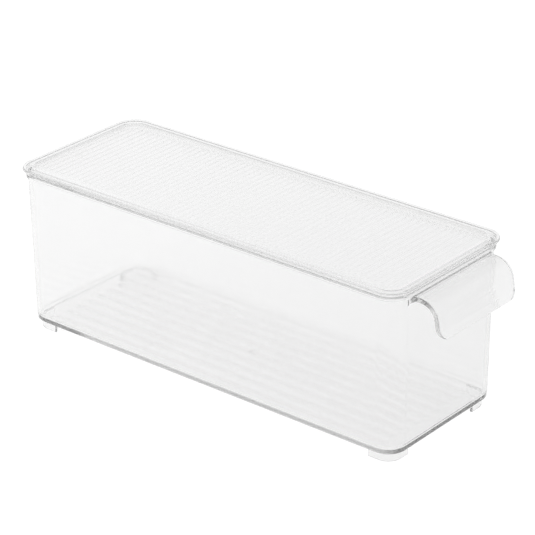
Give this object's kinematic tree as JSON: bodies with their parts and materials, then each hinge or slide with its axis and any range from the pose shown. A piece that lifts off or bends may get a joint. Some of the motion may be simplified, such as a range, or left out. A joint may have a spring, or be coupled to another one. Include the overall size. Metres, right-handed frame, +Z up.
{
  "type": "lidded fridge bin",
  "caption": "Clear rectangular fridge storage bin with a ribbed lift-off lid, a curved pull handle on one end, a ribbed floor and small corner feet.",
  "frame": {"origin": "centre of the whole part's footprint, handle included, on the plane the feet stand on", "axes": "+X along the bin towards the handle end, +Y across the bin, +Z up, out through the lid"},
  "size_m": [0.3317, 0.115, 0.1163],
  "materials": {
    "bin_plastic": "clear, polished",
    "lid_plastic": "clear, polished, fine ribs on top"
  },
  "bodies": {
    "bin": {"bin": "bin_plastic"},
    "lid": {"lid": "lid_plastic"}
  },
  "joints": [
    {"name": "lid_lift", "type": "slide", "parent": "bin", "child": "lid", "axis": [0, 0, 1], "range_m": [0, 0.15]}
  ]
}
